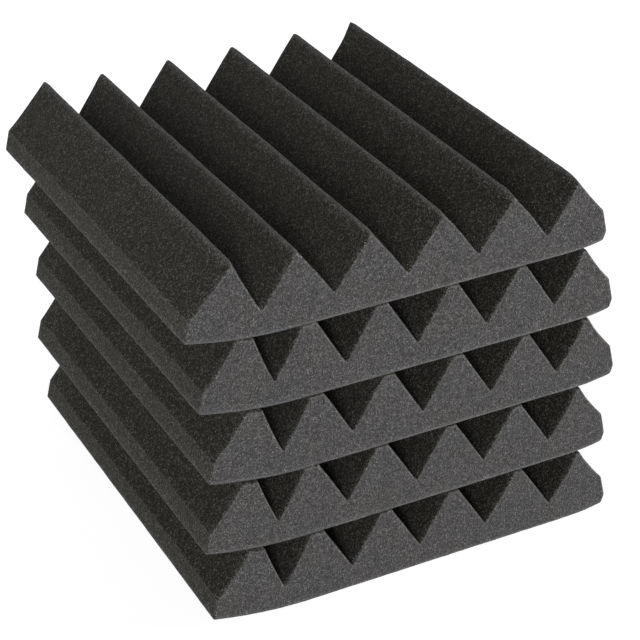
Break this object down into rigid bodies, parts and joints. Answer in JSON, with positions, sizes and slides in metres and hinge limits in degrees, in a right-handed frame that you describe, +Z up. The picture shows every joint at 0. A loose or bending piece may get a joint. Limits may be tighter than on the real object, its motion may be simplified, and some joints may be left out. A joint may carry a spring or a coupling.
{
  "type": "acoustic foam panel stack",
  "caption": "Loose stack of square charcoal sound-absorbing foam panels, each a flat back cut into parallel triangular wedges on its face.",
  "frame": {"origin": "on the surface the stack stands on, under the middle of its bounding box", "axes": "+Z up through the stack, +Y along the wedges towards the back, +X across the wedges to the right"},
  "size_m": [0.3136, 0.3066, 0.2624],
  "materials": {
    "foam": "matt open-cell charcoal polyurethane foam"
  },
  "bodies": {
    "bottom_panel": {"wedge_panel_1_bottom": "foam"},
    "second_panel": {"wedge_panel_2": "foam"},
    "third_panel": {"wedge_panel_3": "foam"},
    "fourth_panel": {"wedge_panel_4": "foam"},
    "top_panel": {"wedge_panel_5_top": "foam"}
  },
  "joints": [
    {"name": "second_panel_lift", "type": "slide", "parent": "bottom_panel", "child": "second_panel", "axis": [0, 0, 1], "range_m": [0, 0.06]},
    {"name": "third_panel_lift", "type": "slide", "parent": "second_panel", "child": "third_panel", "axis": [0, 0, 1], "range_m": [0, 0.06]},
    {"name": "fourth_panel_lift", "type": "slide", "parent": "third_panel", "child": "fourth_panel", "axis": [0, 0, 1], "range_m": [0, 0.06]},
    {"name": "top_panel_lift", "type": "slide", "parent": "fourth_panel", "child": "top_panel", "axis": [0, 0, 1], "range_m": [0, 0.06]}
  ]
}
